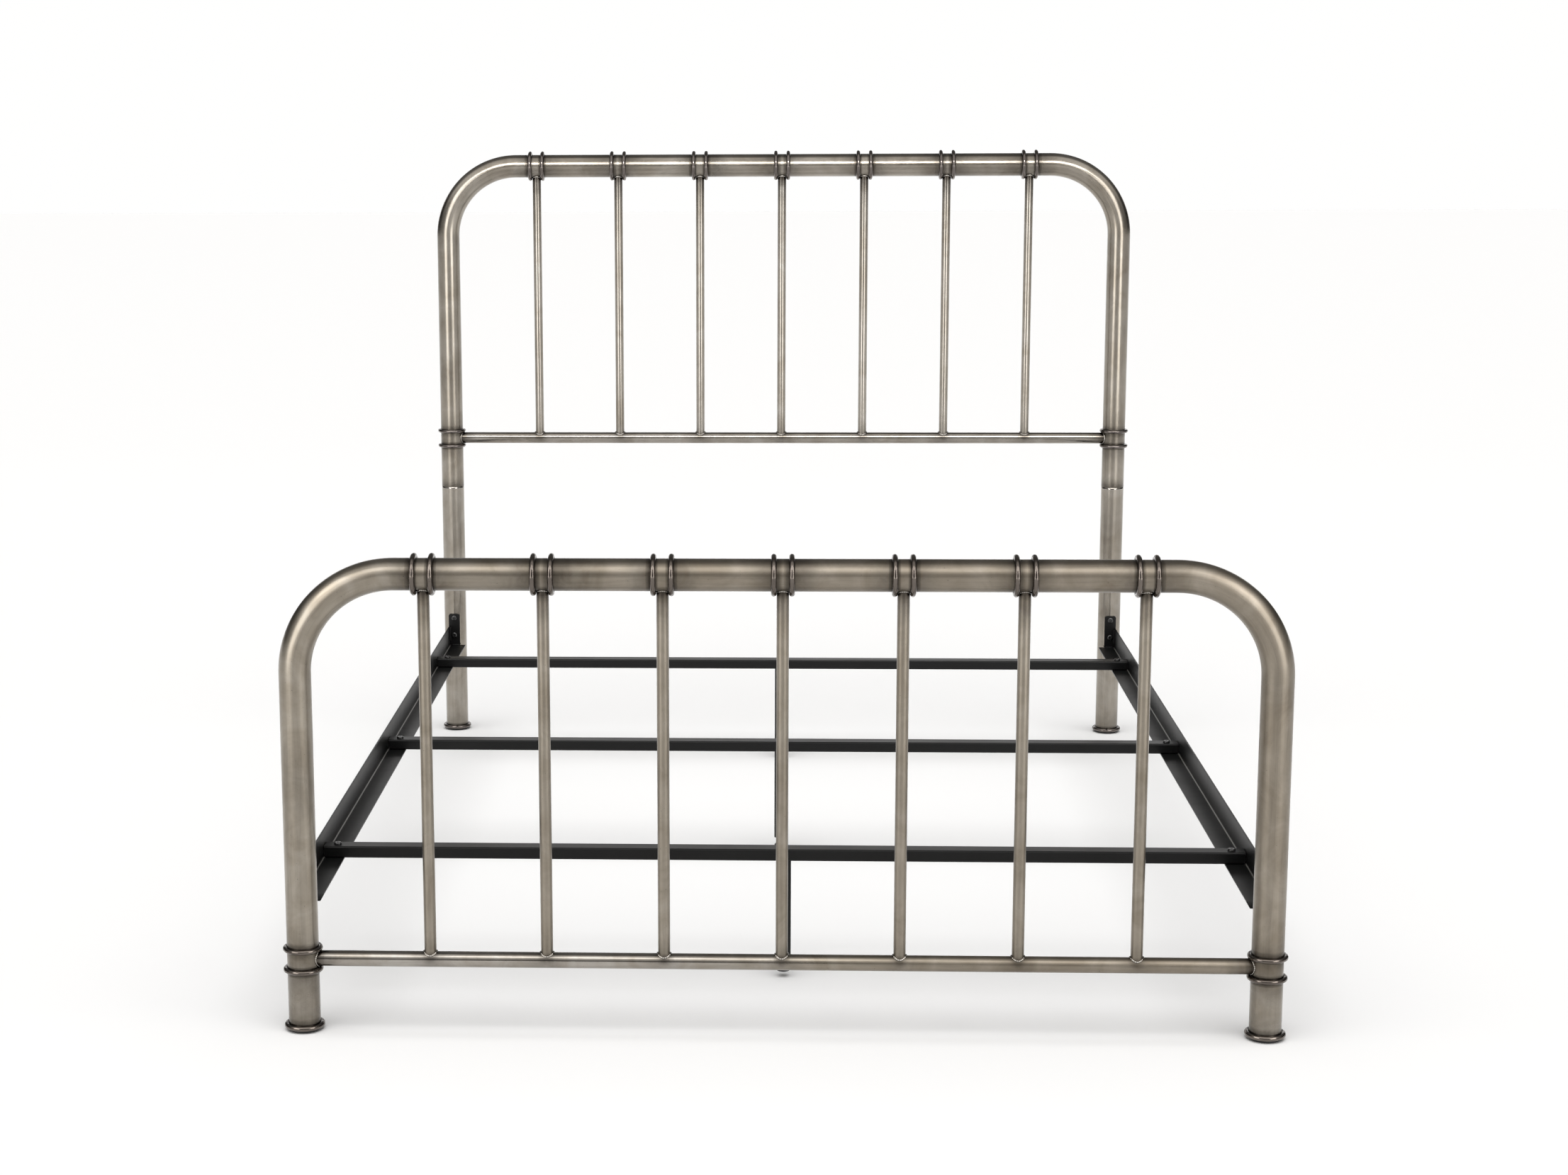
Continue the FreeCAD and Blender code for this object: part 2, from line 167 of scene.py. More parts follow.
def ring_rows(centre, axis, radius, count, wobble, seed):
    """Rows of a closed wire ring, very slightly out of true like hand-bent wire."""
    centre, axis = Vector(centre), Vector(axis).normalized()
    u = axis.orthogonal().normalized()
    v = axis.cross(u)
    rows = []
    for i in range(count):
        a = 2 * math.pi * i / count
        out = u * math.cos(a) + v * math.sin(a)
        r = radius + wobble * math.sin(2 * a + seed)
        sideways = axis * (wobble * 0.6 * math.sin(3 * a + seed * 2.1))
        rows.append((centre + out * r + sideways, out, axis, a * radius))
    return rows


def arch_rows(y, low_z, top_z):
    """Rows of a bent main tube: left post, bend, top, bend, right post."""
    post_rows, bend_rows, top_rows = 60, 48, 120
    rows = []
    side, spring = POST_X - CORNER_R, top_z - CORNER_R
    out = Vector((0, -1, 0))
    rise = spring - low_z
    for i in range(post_rows + 1):
        z = low_z + rise * i / post_rows
        rows.append((Vector((-POST_X, y, z)), out, Vector((-1, 0, 0)), z - low_z))
    s = rise
    arc = math.pi / 2 * CORNER_R
    for i in range(1, bend_rows + 1):
        a = math.pi / 2 * i / bend_rows
        n = Vector((-math.cos(a), 0, math.sin(a)))
        rows.append((Vector((-side, y, spring)) + n * CORNER_R, out, n, s + arc * i / bend_rows))
    s += arc
    for i in range(1, top_rows + 1):
        along = 2 * side * i / top_rows
        rows.append((Vector((-side + along, y, top_z)), out, Vector((0, 0, 1)), s + along))
    s += 2 * side
    for i in range(1, bend_rows + 1):
        a = math.pi / 2 * (1 - i / bend_rows)
        n = Vector((math.cos(a), 0, math.sin(a)))
        rows.append((Vector((side, y, spring)) + n * CORNER_R, out, n, s + arc * i / bend_rows))
    s += arc
    for i in range(1, post_rows + 1):
        z = spring - rise * i / post_rows
        rows.append((Vector((POST_X, y, z)), out, Vector((1, 0, 0)), s + spring - z))
    return rows


def falloff(distance, width):
    """1 at a seam, easing to 0 some way from it."""
    return math.exp(-(distance / width) ** 2)


def patchy(p, scale, seed=0.0):
    """Slow noise between 0 and 1 at a point in millimetres."""
    return 0.5 + 0.5 * noise.noise(Vector((p[0] * scale + seed, p[1] * scale, p[2] * scale)))


def board_grime(board):
    """Patina on a main tube: dark beside rings and joints, patchy elsewhere."""
    _, bar_z, top_z = BOARDS[board]

    def value(p, s, a):
        g = 0.0
        near_top = abs(p.z - top_z) < TUBE_R + 1 and abs(p.x) < POST_X - CORNER_R + 20
        blur = 22.0 + 26.0 * patchy(p, 0.02, 11.0)
        if near_top:
            for x in SPINDLE_X:
                d = abs(abs(p.x - x) - TOP_GAP / 2)
                inside = abs(p.x - x) < TOP_GAP / 2
                smudge = 0.10 if inside else 0.34
                g = max(g, SEAM_DARK * falloff(d, SEAM_WIDTH), smudge * falloff(d, blur))
        else:
            d = abs(abs(p.z - bar_z) - POST_GAP / 2)
            g = max(g, SEAM_DARK * falloff(d, SEAM_WIDTH), 0.26 * falloff(d, blur))
            if abs(p.z - bar_z) < POST_GAP / 2:
                g = max(g, 0.2)
            d = p.z - FOOT_RING_Z
            g = max(g, SEAM_DARK * falloff(d, FOOT_SEAM_WIDTH), 0.22 * falloff(d, blur))
            if board == "headboard":
                g = max(g, 0.9 * falloff(p.z - LEG_JOINT_Z - 0.7, 1.0),
                        0.3 * falloff(p.z - LEG_JOINT_Z - 10, 9.0))
        return g * (0.72 + 0.5 * patchy(p, 0.05)) + 0.55 * max(0.0, patchy(p, 0.009, 7.0) - 0.5)
    return value


# =====================================================================
# materials
# =====================================================================
def node_material(name):
    """New material with one Principled shader; gives material, node tree and shader."""
    mat = bpy.data.materials.new(name)
    mat.use_nodes = True
    tree = mat.node_tree
    tree.nodes.clear()
    out = tree.nodes.new("ShaderNodeOutputMaterial")
    shader = tree.nodes.new("ShaderNodeBsdfPrincipled")
    tree.links.new(shader.outputs[0], out.inputs[0])
    return mat, tree, shader


def add(tree, kind, **values):
    """New node; each value sets the input or the property of that name."""
    node = tree.nodes.new(kind)
    for key, value in values.items():
        if key in node.inputs:
            node.inputs[key].default_value = value
        else:
            setattr(node, key, value)
    return node


def scaled_coords(tree, source, scale):
    coords = add(tree, "ShaderNodeTexCoord")
    mapping = add(tree, "ShaderNodeMapping")
    mapping.inputs["Scale"].default_value = scale
    tree.links.new(coords.outputs[source], mapping.inputs["Vector"])
    return mapping.outputs[0]


def noise_tex(tree, vector, scale, detail, rough, distortion=0.0):
    tex = add(tree, "ShaderNodeTexNoise", Scale=scale, Detail=detail, Roughness=rough, Distortion=distortion)
    tree.links.new(vector, tex.inputs["Vector"])
    return tex.outputs["Fac"]


def ramp(tree, factor, stops):
    """Colour ramp from (position, colour) stops."""
    node = tree.nodes.new("ShaderNodeValToRGB")
    elements = node.color_ramp.elements
    while len(elements) < len(stops):
        elements.new(0.5)
    for element, (position, colour) in zip(elements, stops):
        element.position = position
        element.color = (*colour, 1.0)
    tree.links.new(factor, node.inputs[0])
    return node.outputs[0]


def grey(v):
    return (v, v, v)


def math_node(tree, operation, a, b, clamp=False):
    node = add(tree, "ShaderNodeMath", operation=operation, use_clamp=clamp)
    for i, value in enumerate((a, b)):
        if isinstance(value, (int, float)):
            node.inputs[i].default_value = value
        else:
            tree.links.new(value, node.inputs[i])
    return node.outputs[0]


def mix_colour(tree, factor, a, b, blend="MIX"):
    """Mix of two colours; the Mix node's colour sockets are inputs 6 and 7 and output 2."""
    node = add(tree, "ShaderNodeMix", data_type="RGBA", blend_type=blend)
    for socket, value in ((node.inputs[0], factor), (node.inputs[6], a), (node.inputs[7], b)):
        if isinstance(value, (int, float)):
            socket.default_value = value
        elif isinstance(value, tuple):
            socket.default_value = (*value, 1.0)
        else:
            tree.links.new(value, socket)
    return node.outputs[2]


def pewter(name, bright, mid, dark, rough_low, rough_high, streak, coat):
    """Burnished antique pewter: streaky brushed steel with dark patina in the seams."""
    mat, tree, shader = node_material(name)
    along = scaled_coords(tree, "UV", (9.0, 190.0, 1.0))
    fine = scaled_coords(tree, "UV", (60.0, 1500.0, 1.0))
    world = scaled_coords(tree, "Object", (1.0, 1.0, 1.0))
    streaks = noise_tex(tree, along, 1.0, 5.0, 0.6, 0.4)
    brushed = noise_tex(tree, fine, 1.0, 3.0, 0.6)
    cloud = noise_tex(tree, world, 14.0, 4.0, 0.6, 0.8)
    smear = noise_tex(tree, world, 45.0, 5.0, 0.65, 1.2)
    grime = add(tree, "ShaderNodeAttribute", attribute_name="grime").outputs["Fac"]
    wear = math_node(tree, "MULTIPLY", math_node(tree, "SUBTRACT", smear, 0.5), 0.55)
    smeared = math_node(tree, "MULTIPLY", wear, math_node(tree, "ADD", grime, 0.12))
    g = math_node(tree, "ADD", grime, smeared, clamp=True)
    body = mix_colour(tree, ramp(tree, cloud, [(0.30, grey(0.0)), (0.72, grey(1.0))]), mid, bright)
    brush_marks = ramp(tree, streaks, [(0.32, grey(0.45)), (0.5, grey(0.8)), (0.7, grey(1.0))])
    body = mix_colour(tree, streak, body, brush_marks, "MULTIPLY")
    pits = ramp(tree, noise_tex(tree, world, 420.0, 1.0, 0.5), [(0.76, grey(1.0)), (0.80, grey(0.35))])
    body = mix_colour(tree, 0.8, body, pits, "MULTIPLY")
    tone = add(tree, "ShaderNodeAttribute", attribute_name="tone").outputs["Fac"]
    # low tone makes the colour darker and browner; where tone differs between the boards and from end to end
    # it is painted light and shade
    polish_and_light_tint = ramp(tree, tone, [(0.0, (0.50, 0.44, 0.36)), (0.5, (0.85, 0.82, 0.76)), (1.0, grey(1.0))])
    body = mix_colour(tree, 1.0, body, polish_and_light_tint, "MULTIPLY")
    seam = ramp(tree, g, [(0.05, grey(0.0)), (0.45, grey(0.66)), (0.95, grey(1.0))])
    colour = mix_colour(tree, seam, body, dark)
    tree.links.new(colour, shader.inputs["Base Color"])
    shader.inputs["Metallic"].default_value = 1.0
    spread = math_node(tree, "ADD", math_node(tree, "MULTIPLY", cloud, 0.5),
                       math_node(tree, "MULTIPLY", g, 0.6), clamp=True)
    rough = math_node(tree, "ADD", math_node(tree, "MULTIPLY", spread, rough_high - rough_low), rough_low)
    gloss = math_node(tree, "MULTIPLY", math_node(tree, "SUBTRACT", tone, 0.5), 0.42)
    rough = math_node(tree, "MAXIMUM", math_node(tree, "SUBTRACT", rough, gloss), 0.12)
    tree.links.new(rough, shader.inputs["Roughness"])
    shader.inputs["Coat Weight"].default_value = coat
    shader.inputs["Coat Roughness"].default_value = 0.16
    shader.inputs["Coat IOR"].default_value = 1.45
    height = math_node(tree, "ADD", math_node(tree, "MULTIPLY", brushed, 0.35),
                       math_node(tree, "MULTIPLY", smear, 0.65))
    bump = add(tree, "ShaderNodeBump", Strength=0.16, Distance=0.0005)
    tree.links.new(height, bump.inputs["Height"])
    tree.links.new(bump.outputs[0], shader.inputs["Normal"])
    return mat


def powder_coat(name, colour, rough, peel=0.22, gloss=0.24):
    """Satin black powder coat with a fine orange-peel surface and faint rubbed patches."""
    mat, tree, shader = node_material(name)
    world = scaled_coords(tree, "Object", (1.0, 1.0, 1.0))
    peel_fine = noise_tex(tree, world, 900.0, 2.0, 0.5)
    cloud = noise_tex(tree, world, 9.0, 4.0, 0.6, 0.6)
    scuff = noise_tex(tree, world, 60.0, 6.0, 0.7, 1.5)
    light = tuple(c * 1.6 + 0.001 for c in colour)
    base = mix_colour(tree, ramp(tree, cloud, [(0.35, grey(0.0)), (0.75, grey(0.55))]), colour, light)
    rubbed = ramp(tree, scuff, [(0.68, grey(0.0)), (0.80, grey(0.25))])
    base = mix_colour(tree, rubbed, base, (0.04, 0.04, 0.04))
    # a lighter grey along a rail's inner fold: a painted highlight
    painted_fold_highlight = add(tree, "ShaderNodeAttribute", attribute_name="painted_fold_highlight").outputs["Fac"]
    base = mix_colour(tree, math_node(tree, "MULTIPLY", painted_fold_highlight, 0.9), base, (0.16, 0.155, 0.145))
    tree.links.new(base, shader.inputs["Base Color"])
    shader.inputs["Metallic"].default_value = 0.0
    shader.inputs["Specular IOR Level"].default_value = gloss
    r = math_node(tree, "ADD", math_node(tree, "MULTIPLY", cloud, 0.14), rough - 0.07)
    tree.links.new(r, shader.inputs["Roughness"])
    bump = add(tree, "ShaderNodeBump", Strength=peel, Distance=0.0002)
    tree.links.new(peel_fine, bump.inputs["Height"])
    tree.links.new(bump.outputs[0], shader.inputs["Normal"])
    return mat


def plated(name):
    """Zinc-plated steel, slightly mottled."""
    mat, tree, shader = node_material(name)
    world = scaled_coords(tree, "Object", (1.0, 1.0, 1.0))
    cloud = noise_tex(tree, world, 160.0, 4.0, 0.6, 0.5)
    base = ramp(tree, cloud, [(0.3, (0.42, 0.42, 0.40)), (0.7, (0.62, 0.62, 0.58))])
    tree.links.new(base, shader.inputs["Base Color"])
    shader.inputs["Metallic"].default_value = 1.0
    rough = math_node(tree, "ADD", math_node(tree, "MULTIPLY", cloud, 0.25), 0.22)
    tree.links.new(rough, shader.inputs["Roughness"])
    bump = add(tree, "ShaderNodeBump", Strength=0.1, Distance=0.0002)
    tree.links.new(cloud, bump.inputs["Height"])
    tree.links.new(bump.outputs[0], shader.inputs["Normal"])
    return mat


def moulded(name, colour, rough):
    """Moulded black plastic with a light spark-eroded grain."""
    mat, tree, shader = node_material(name)
    world = scaled_coords(tree, "Object", (1.0, 1.0, 1.0))
    grain = noise_tex(tree, world, 1400.0, 2.0, 0.5)
    dust = noise_tex(tree, world, 80.0, 5.0, 0.65, 1.0)
    dusty = ramp(tree, dust, [(0.45, grey(0.0)), (0.8, grey(0.5))])
    base = mix_colour(tree, dusty, colour, tuple(c + 0.05 for c in colour))
    tree.links.new(base, shader.inputs["Base Color"])
    r = math_node(tree, "ADD", math_node(tree, "MULTIPLY", dust, 0.15), rough - 0.05)
    tree.links.new(r, shader.inputs["Roughness"])
    bump = add(tree, "ShaderNodeBump", Strength=0.2, Distance=0.0001)
    tree.links.new(grain, bump.inputs["Height"])
    tree.links.new(bump.outputs[0], shader.inputs["Normal"])
    return mat


TUBE_MAT = pewter("pewter_tube", bright=(0.43, 0.405, 0.37), mid=(0.285, 0.255, 0.215),
                  dark=(0.034, 0.027, 0.020), rough_low=0.25, rough_high=0.42, streak=0.3, coat=0.3)
RING_MAT = pewter("pewter_ring", bright=(0.205, 0.182, 0.168), mid=(0.125, 0.107, 0.098),
                  dark=(0.014, 0.011, 0.010), rough_low=0.13, rough_high=0.26, streak=0.2, coat=0.4)
WELD_MAT = pewter("pewter_weld", bright=(0.60, 0.57, 0.53), mid=(0.30, 0.275, 0.24),
                  dark=(0.02, 0.017, 0.014), rough_low=0.14, rough_high=0.30, streak=0.2, coat=0.4)
RAIL_MAT = powder_coat("black_rail", (0.0045, 0.0045, 0.0045), 0.36)
HARDWARE_MAT = powder_coat("black_hardware", (0.012, 0.012, 0.012), 0.24, peel=0.1, gloss=0.8)
ZINC_MAT = plated("zinc_steel")
GLIDE_MAT = moulded("glide_plastic", (0.015, 0.015, 0.015), 0.45)
PLUG_MAT = moulded("plug_plastic", (0.02, 0.02, 0.02), 0.5)


# =====================================================================
# headboard and footboard
# =====================================================================
def fade(x, middle, left, right):
    """Polish and painted light that eases from its left value to its right one over FADE_SPAN around the
    middle; the change along a tube is painted light and shade.
    """
    t = min(1.0, max(0.0, (x - middle + FADE_SPAN / 2) / FADE_SPAN))
    return left + (right - left) * t * t * (3.0 - 2.0 * t)


def main_tube(board):
    y, bar_z, top_z = BOARDS[board]
    low = LEG_JOINT_Z if board == "headboard" else GLIDE_TOP
    tube = Builder()

    # painted light and shade: the footboard's tube set darker than the headboard's, darker still towards its
    # right end
    def shine(p, s, a):
        if p.z < bar_z:
            return TUBE_LOW_POLISH_AND_LIGHT[board]
        return fade(p.x, TUBE_FADE_X, *TUBE_POLISH_AND_LIGHT[board])
    tube.sweep(arch_rows(y, low, top_z), TUBE_R, 72, board_grime(board), tone=shine)
    for sign in (-1, 1):
        # the inside wall of the open lower end, dark with patina
        rows = straight_rows((sign * POST_X, y, low + 60), (sign * POST_X, y, low), 8)
        tube.sweep(rows, TUBE_R - TUBE_WALL, 48, 1.0)
    tube.finish(board + "_main_tube", TUBE_MAT, [board + "_arch_tube"])


def lower_bar(board):
    y, bar_z, _ = BOARDS[board]
    reach = POST_X - math.sqrt(TUBE_R ** 2 - BAR_R ** 2) + 2.0

    def grime(p, s, a):
        d = POST_X - TUBE_R - abs(p.x)
        g = max(0.95 * falloff(d, 9.0), 0.4 * falloff(d, 30.0))
        for x in SPINDLE_X:
            lift = 0.5 + 0.5 * (p.z - bar_z) / BAR_R
            g = max(g, 0.75 * lift * falloff(abs(p.x - x), 13.0), 0.2 * falloff(abs(p.x - x), 30.0))
        return g * (0.7 + 0.5 * patchy(p, 0.06)) + 0.2 * max(0.0, patchy(p, 0.02, 3.0) - 0.5)
    bar = Builder()
    # painted light and shade: the footboard's bar bright at its left end and dark at its right
    bar.sweep(straight_rows((-reach, y, bar_z), (reach, y, bar_z), 260), BAR_R, 48, grime,
              tone=lambda p, s, a: fade(p.x, BAR_FADE_X, *BAR_POLISH_AND_LIGHT[board]), seed=1.7)
    bar.finish(board + "_lower_tube", TUBE_MAT, [board + "_lower_bar"])


def spindles(board):
    y, bar_z, top_z = BOARDS[board]
    for number, x in enumerate(SPINDLE_X, 1):
        low, high = bar_z + BAR_R - 3.5, top_z - TUBE_R + 1.5

        def grime(p, s, a):
            up, down = high - p.z, p.z - low
            g = max(0.95 * falloff(up, 16.0), 0.45 * falloff(up, 48.0),
                    0.5 * falloff(down, 7.0), 0.2 * falloff(down, 30.0))
            return g * (0.7 + 0.5 * patchy(p, 0.06)) + 0.2 * max(0.0, patchy(p, 0.02, 5.0) - 0.5)
        rod = Builder()
        # painted shade: the footboard's spindles set darker than the headboard's
        rod.sweep(straight_rows((x, y, low), (x, y, high), 90), SPINDLE_R, 36, grime,
                  tone=SPINDLE_POLISH_AND_LIGHT[board], seed=0.37 * number)
        rod.finish("%s_rod_%d" % (board, number), TUBE_MAT,
                   ["%s_spindle_%d" % (board, number)])


def add_ring(builder, centre, axis, radius, wire, seed, tone):
    """Hand-bent wire ring, dark where it lies against the tube."""
    rows = ring_rows(centre, axis, radius, 96, 0.12, seed)

    def wire_r(s, a):
        return wire * (1.0 + 0.012 * math.sin(s * 0.21 + seed) + 0.01 * math.sin(s * 0.53 + 2 * seed))

    def grime(p, s, a):
        inward = 0.5 - 0.5 * math.cos(a)      # 1 against the tube, 0 on the outside
        seam = 1.05 * inward ** 2.0 * (0.8 + 0.4 * patchy(p, 0.08))
        return 0.06 + seam + 0.2 * max(0.0, patchy(p, 0.05, 2.0) - 0.45)
    builder.sweep(rows, wire_r, 24, grime, closed=True, tone=tone, seed=seed)


def rings(board):
    y, bar_z, top_z = BOARDS[board]
    # painted shade: the footboard's rings set darker than the headboard's
    shine = RING_POLISH_AND_LIGHT[board]
    top = Builder()
    for i, x in enumerate(SPINDLE_X):
        for j, side in enumerate((-1, 1)):
            add_ring(top, (x + side * TOP_GAP / 2, y, top_z), (1, 0, 0), TOP_RING_R, TOP_WIRE_R,
                     i * 1.3 + j * 0.7, shine)
    top.finish(board + "_top_wire_rings", RING_MAT, [board + "_top_rings"])
    for sign, side_name in SIDES:
        pair = Builder()
        for j, side in enumerate((-1, 1)):
            add_ring(pair, (sign * POST_X, y, bar_z + side * POST_GAP / 2), (0, 0, 1), POST_RING_R,
                     POST_WIRE_R, j + sign, shine)
        pair.finish("%s_post_wire_rings_%s" % (board, side_name), RING_MAT,
                    ["%s_post_rings_%s" % (board, side_name)])
        foot = Builder()
        add_ring(foot, (sign * POST_X, y, FOOT_RING_Z), (0, 0, 1), FOOT_RING_R, FOOT_WIRE_R,
                 2.0 + sign, shine)
        foot.finish("%s_foot_wire_ring_%s" % (board, side_name), RING_MAT,
                    ["%s_foot_ring_%s" % (board, side_name)])


def bead(builder, path_of, radius, ripples, seed):
    """Weld bead along a closed path, with the ripples and spatter of a hand weld."""
    count, lumps = 120, 8
    points = [path_of(2 * math.pi * i / count) for i in range(count)]
    rows, s = [], 0.0
    for i, (p, out) in enumerate(points):
        before, after = Vector(points[i - 1][0]), Vector(points[(i + 1) % count][0])
        t = (after - before).normalized()
        n = (Vector(out) - t * Vector(out).dot(t)).normalized()
        rows.append((Vector(p), n, t.cross(n), s))
        s += (after - Vector(p)).length
    total = s
    rng = random.Random(seed)
    phase, size = rng.random() * 6.28, [0.85 + 0.35 * rng.random() for _ in range(lumps)]

    def bead_r(d, a):
        turn = d / total * 2 * math.pi
        scallop = abs(math.sin(turn * ripples / 2 + phase))
        lump = size[int(turn / (2 * math.pi) * lumps) % lumps]
        return radius * (0.82 + 0.24 * scallop) * (0.88 + 0.12 * lump)

    def grime(p, d, a):
        turn = d / total * 2 * math.pi
        valley = 1.0 - abs(math.sin(turn * ripples / 2 + phase))
        spatter = 0.5 * max(0.0, patchy(p, 0.25, seed) - 0.6)
        return 0.05 + 0.5 * valley ** 2 + 0.4 * max(0.0, -math.cos(a)) + spatter
    builder.sweep(rows, bead_r, 14, grime, closed=True, tone=1.0, seed=seed * 0.1)


def welds(board):
    """Beads where spindles meet bar and top tube, and where the bar meets the posts."""
    y, bar_z, top_z = BOARDS[board]
    group = Builder()
    for i, x in enumerate(SPINDLE_X):
        def foot_path(t, x=x):
            px, py = (SPINDLE_R + 0.7) * math.cos(t), (SPINDLE_R + 0.7) * math.sin(t)
            z = bar_z + math.sqrt(max(0.0, (BAR_R + 0.5) ** 2 - py * py))
            return (x + px, y + py, z), (math.cos(t), math.sin(t), 0.8)
        bead(group, foot_path, BEAD_FOOT_R, 22, 3 + i)

        def head_path(t, x=x):
            px, py = (SPINDLE_R + 0.2) * math.cos(t), (SPINDLE_R + 0.2) * math.sin(t)
            z = top_z - math.sqrt((TUBE_R + 0.2) ** 2 - py * py)
            return (x + px, y + py, z), (math.cos(t), math.sin(t), -0.8)
        bead(group, head_path, BEAD_HEAD_R, 18, 21 + i)
    for sign in (-1, 1):
        def bar_path(t, sign=sign):
            py, pz = (BAR_R + 0.3) * math.cos(t), (BAR_R + 0.3) * math.sin(t)
            px = sign * (POST_X - math.sqrt((TUBE_R + 0.2) ** 2 - py * py))
            return (px, y + py, bar_z + pz), (-sign * 0.8, math.cos(t), math.sin(t))
        bead(group, bar_path, BEAD_HEAD_R, 26, 40 + sign)
    group.finish(board + "_weld_beads", WELD_MAT)


def headboard_legs():
    y = BOARD_Y
    for sign, side_name in SIDES:
        low, high = GLIDE_TOP, LEG_JOINT_Z
        leg = Builder()

        def radius(s, a):
            z = low + s
            drop = high - z
            if drop < SHOULDER_H:
                inset = SHOULDER_H - drop
                return TUBE_R - SHOULDER_R + math.sqrt(max(0.0, SHOULDER_R ** 2 - inset ** 2))
            return TUBE_R
        stops = [high - low - d for d in (0.0, 0.4, 0.9, 1.5, 2.2, 3.0, 3.6, 4.0, 5.0, 7.0)]

        # painted light: the legs set brighter than the footboard's posts; the shoulder band is glossier and
        # lighter, and its lighter colour is a painted highlight
        def shine(p, s, a):
            on_shoulder = 0.0 < LEG_JOINT_Z - p.z < SHOULDER_GLOSS_AND_HIGHLIGHT_H
            return SHOULDER_GLOSS_AND_HIGHLIGHT if on_shoulder else LEG_POLISH_AND_LIGHT
        leg.sweep(straight_rows((sign * POST_X, y, low), (sign * POST_X, y, high), 120, stops), radius, 72,
                  board_grime("headboard"), tone=shine, seed=2.2)
        leg.sweep(straight_rows((sign * POST_X, y, high), (sign * POST_X, y, high + 0.02), 2),
                  lambda s, a: TUBE_R - 1.0 - s * 60, 72, 1.0)
        leg.finish("headboard_lower_leg_" + side_name, TUBE_MAT,
                   ["headboard_leg_" + side_name])


# =====================================================================
# black steel parts
# =====================================================================
def rounded_profile(points, radii):
    """Closed outline with rounded corners from corner points."""
    steps = 5
    result = []
    count = len(points)
    for i in range(count):
        p = Vector(points[i])
        a, b = (Vector(points[i - 1]) - p), (Vector(points[(i + 1) % count]) - p)
        r = radii[i]
        angle = a.angle(b)
        cut = r / math.tan(angle / 2)
        start, end = p + a.normalized() * cut, p + b.normalized() * cut
        middle = p + (a.normalized() + b.normalized()).normalized() * (r / math.sin(angle / 2))
        u, v = start - middle, end - middle
        for k in range(steps + 1):
            f = k / steps
            w = (u * math.sin((1 - f) * u.angle(v)) + v * math.sin(f * u.angle(v))) / math.sin(u.angle(v))
            result.append(middle + w)
    return result


def side_rail(sign, side_name):
    """Rolled angle rail with softened edges."""
    outer, inner, web = RAIL_X, RAIL_X - RAIL_W, RAIL_X - RAIL_T
    bottom, top, ledge = RAIL_Z, RAIL_Z + RAIL_H, RAIL_Z + RAIL_T
    corners = [(inner, bottom), (outer, bottom), (outer, top), (web, top), (web, ledge), (inner, ledge)]
    outline = rounded_profile(corners, [0.9, 5.0, 0.9, 0.9, 3.0, 0.9])
    if sign < 0:
        outline = [Vector((-p.x, p.y)) for p in reversed(outline)]
    # a lighter line along the inside of the bend: a painted highlight
    fold = Vector((web - 0.88, ledge + 0.88))
    fold_highlight_mask = [1.0 if (Vector((abs(p.x), p.y)) - fold).length < 1.0 else 0.0 for p in outline]
    verts, faces, uvs = [], [], []
    ys = [-RAIL_END + 2 * RAIL_END * k / 60 for k in range(61)]
    n = len(outline)
    for yy in ys:
        for p in outline:
            verts.append((p.x, yy, p.y))
    for k in range(len(ys) - 1):
        for j in range(n):
            m = (j + 1) % n
            faces.append((k * n + j, (k + 1) * n + j, (k + 1) * n + m, k * n + m))
            u0, u1, v0, v1 = ys[k] * MM, ys[k + 1] * MM, j * 0.01, m * 0.01
            uvs += [(u0, v0), (u1, v0), (u1, v1), (u0, v1)]
    faces.append(tuple(range(n)))
    faces.append(tuple(reversed(range((len(ys) - 1) * n, len(ys) * n))))
    uvs += [(0.0, 0.0)] * (2 * n)
    obj = new_object("angle_rail_" + side_name, verts, faces, {"painted_fold_highlight": fold_highlight_mask * len(ys)}, uvs)
    obj.data.materials.append(RAIL_MAT)
    obj.modifiers.new("edges", "WEIGHTED_NORMAL")
    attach(obj, ROOT)
    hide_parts("side_rail_" + side_name)


def plate_welds():
    """Short fillet welds that hold each end plate to its rail."""
    group = Builder()
    for sign in (-1, 1):
        for end in (-1, 1):
            y = end * (RAIL_END - 0.4)
            x0, x1 = sign * (RAIL_X - RAIL_T - 0.3), sign * (POST_X - 12.0)
            flange_z = RAIL_Z + RAIL_T + 0.3
            runs = [((x0, y, RAIL_Z + 10), (x0, y, RAIL_Z + RAIL_H - 3)),
                    ((sign * (RAIL_X - 6), y, flange_z), (x1, y, flange_z))]
            for k, (a, b) in enumerate(runs):
                rows = straight_rows(a, b, 60)
                length = rows[-1][3]

                def radius(s, turn, length=length):
                    ends = min(1.0, math.sqrt(max(0.0, min(s, length - s) + 0.05) / 2.0))
                    return 1.7 * ends * (0.85 + 0.2 * abs(math.sin(s * 1.4)))
                group.sweep(rows, radius, 12, 0.0, caps=(True, True), seed=k)
    group.finish("rail_plate_welds", RAIL_MAT)


